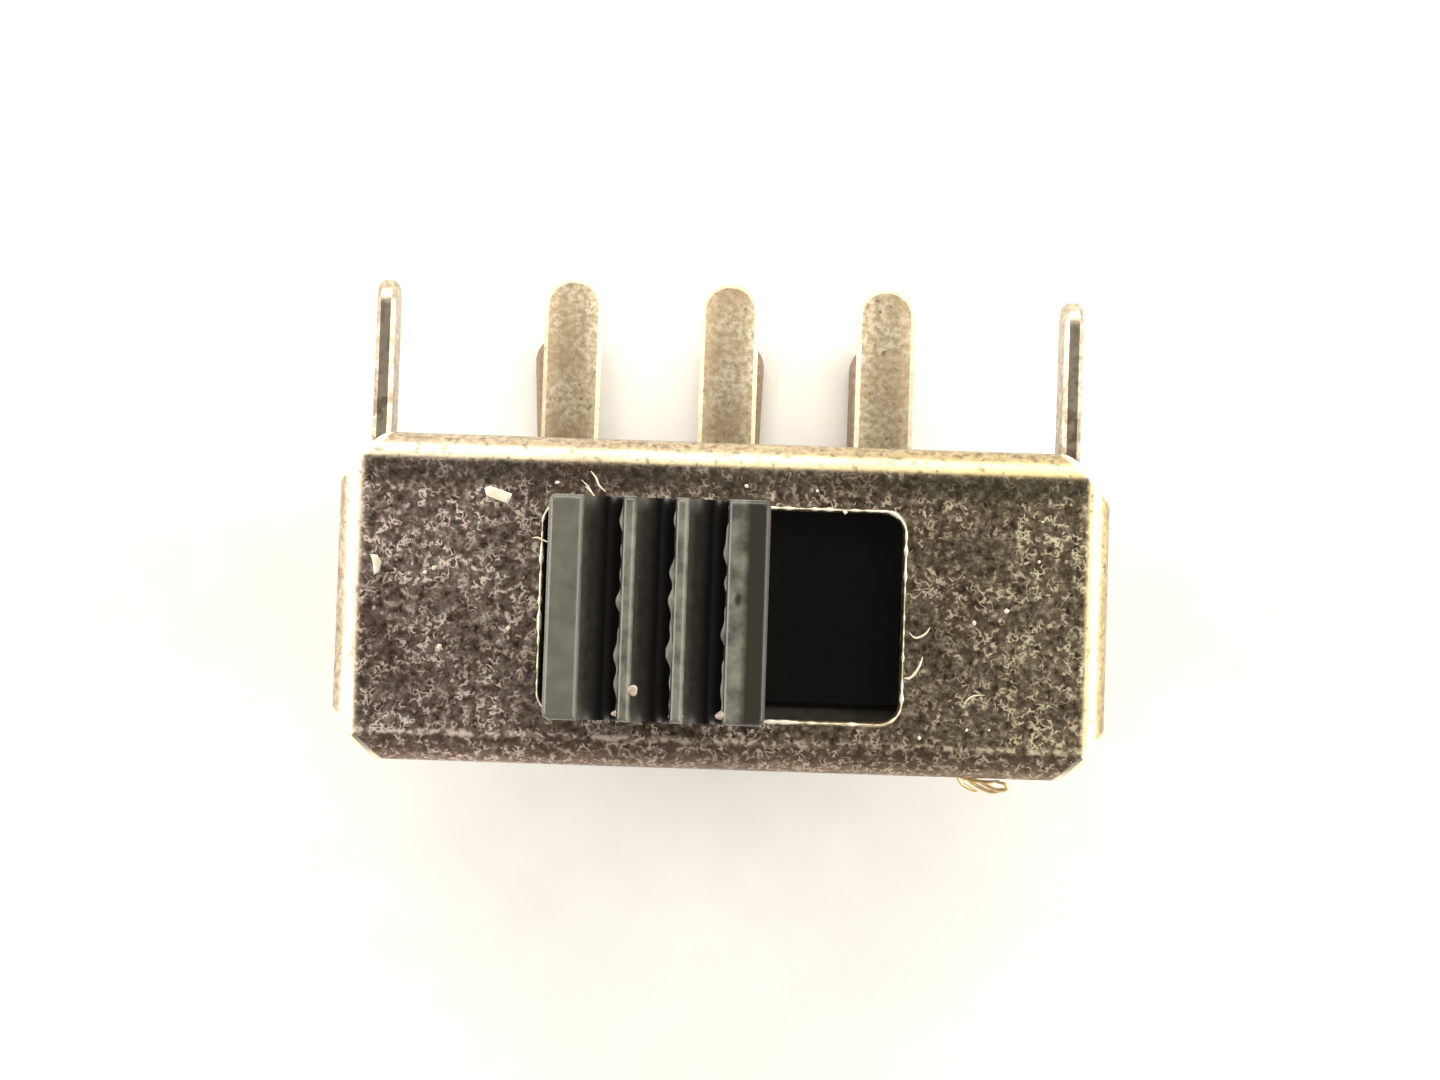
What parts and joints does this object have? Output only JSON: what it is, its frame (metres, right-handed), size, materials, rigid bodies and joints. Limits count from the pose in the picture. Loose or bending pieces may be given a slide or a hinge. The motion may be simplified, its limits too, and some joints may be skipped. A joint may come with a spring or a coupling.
{
  "type": "slide switch",
  "caption": "Right-angle slide switch for a circuit board: folded steel shell, ribbed knob that slides in its window, flat terminals and legs out of one side.",
  "frame": {"origin": "bottom centre of the switch lying on its back: under the middle of its box, on the underside of the rear terminals", "axes": "+Z the way the knob points, +Y the way the terminals and legs point, +X along the knob's travel"},
  "size_m": [0.0132, 0.009, 0.013],
  "materials": {
    "plated_steel": "tin-plated pressed sheet, dull with fine mottling",
    "base_moulding": "moulded, matt",
    "black_plastic": "moulded nylon, satin",
    "contact_metal": "silver-plated spring strip",
    "terminal_metal": "tin-plated stamped strip, warm grey"
  },
  "bodies": {
    "housing": {"shell": "plated_steel", "base": "base_moulding", "terminal_upper_left": "terminal_metal", "terminal_upper_middle": "terminal_metal", "terminal_upper_right": "terminal_metal", "terminal_lower_left": "terminal_metal", "terminal_lower_middle": "terminal_metal", "terminal_lower_right": "terminal_metal"},
    "knob": {"slider": "black_plastic", "clip_upper": "contact_metal", "clip_lower": "contact_metal"}
  },
  "joints": [
    {"name": "knob_slide", "type": "slide", "parent": "housing", "child": "knob", "axis": [1, 0, 0], "range_m": [0, 0.002]}
  ]
}
